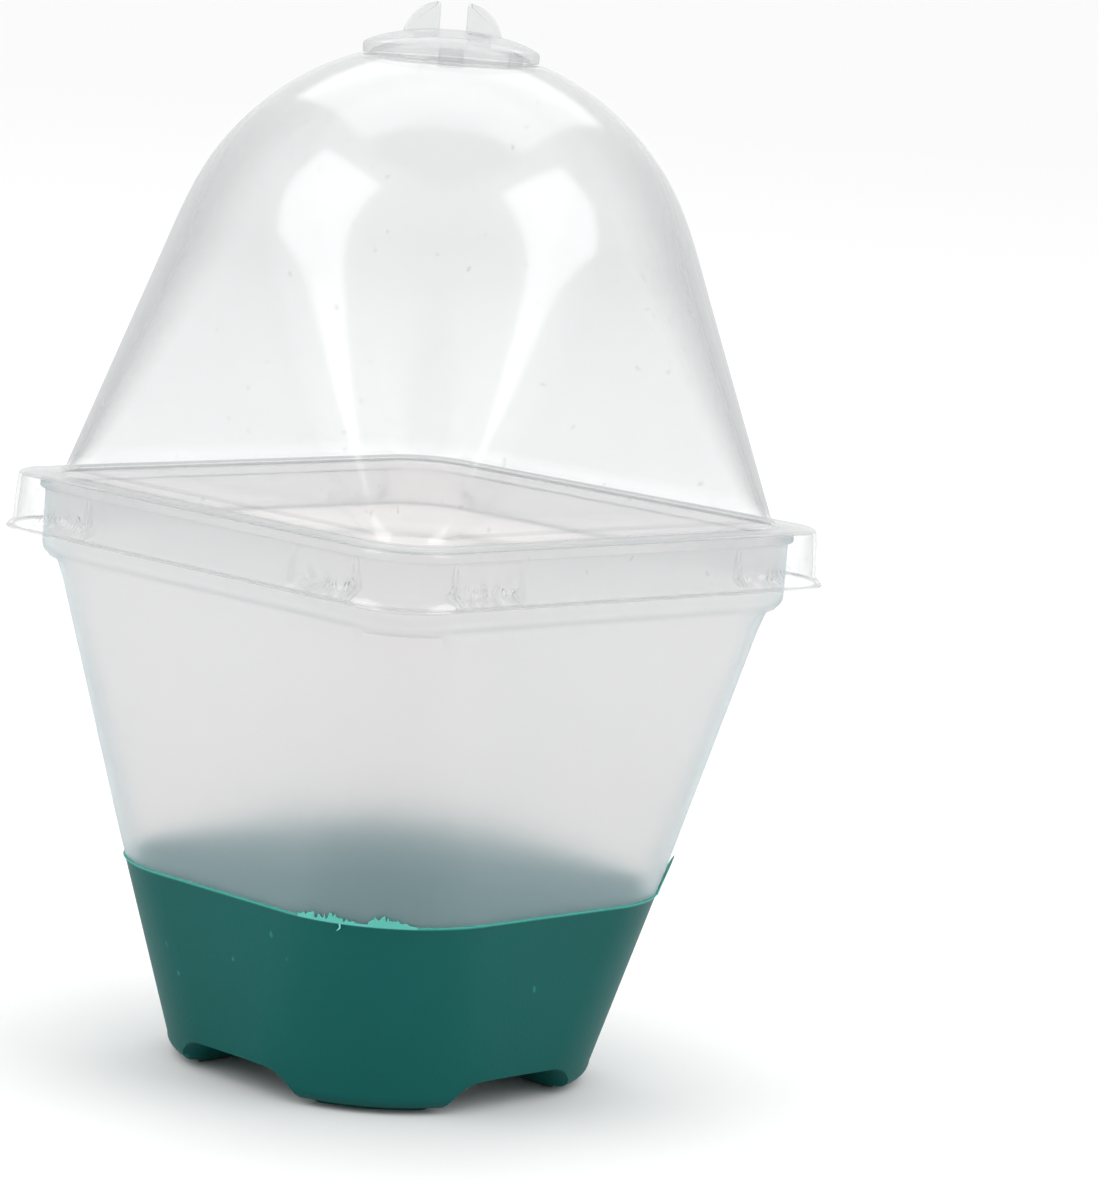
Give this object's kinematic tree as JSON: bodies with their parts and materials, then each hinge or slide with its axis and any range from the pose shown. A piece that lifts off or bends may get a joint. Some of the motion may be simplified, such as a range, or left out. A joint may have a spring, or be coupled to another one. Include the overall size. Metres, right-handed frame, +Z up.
{
  "type": "seed starter pot with humidity dome",
  "caption": "Tapered square seedling pot with a soft push-up base, a clear clip-over humidity dome and a turning vent dial on top.",
  "frame": {"origin": "on the ground, midway between the four feet", "axes": "+Z up through the pot, the dome and the vent dial; X and Y square to the pot's flat faces"},
  "size_m": [0.1044, 0.1044, 0.1805],
  "materials": {
    "frosted_plastic": "frosted translucent",
    "soft_green": "satin soft moulding",
    "clear_sheet": "clear glossy sheet",
    "clear_moulding": "clear glossy moulding"
  },
  "bodies": {
    "pot": {"pot": "frosted_plastic", "soft_base": "soft_green"},
    "dome": {"dome": "clear_sheet"},
    "vent_dial": {"vent_dial": "clear_moulding"}
  },
  "joints": [
    {"name": "dome_lift", "type": "slide", "parent": "pot", "child": "dome", "axis": [0, 0, 1], "range_m": [0, 0.06]},
    {"name": "vent_turn", "type": "hinge", "parent": "dome", "child": "vent_dial", "pos_m": [0, 0, 0.171], "axis": [0, 0, 1], "range_deg": [0, 90]}
  ]
}
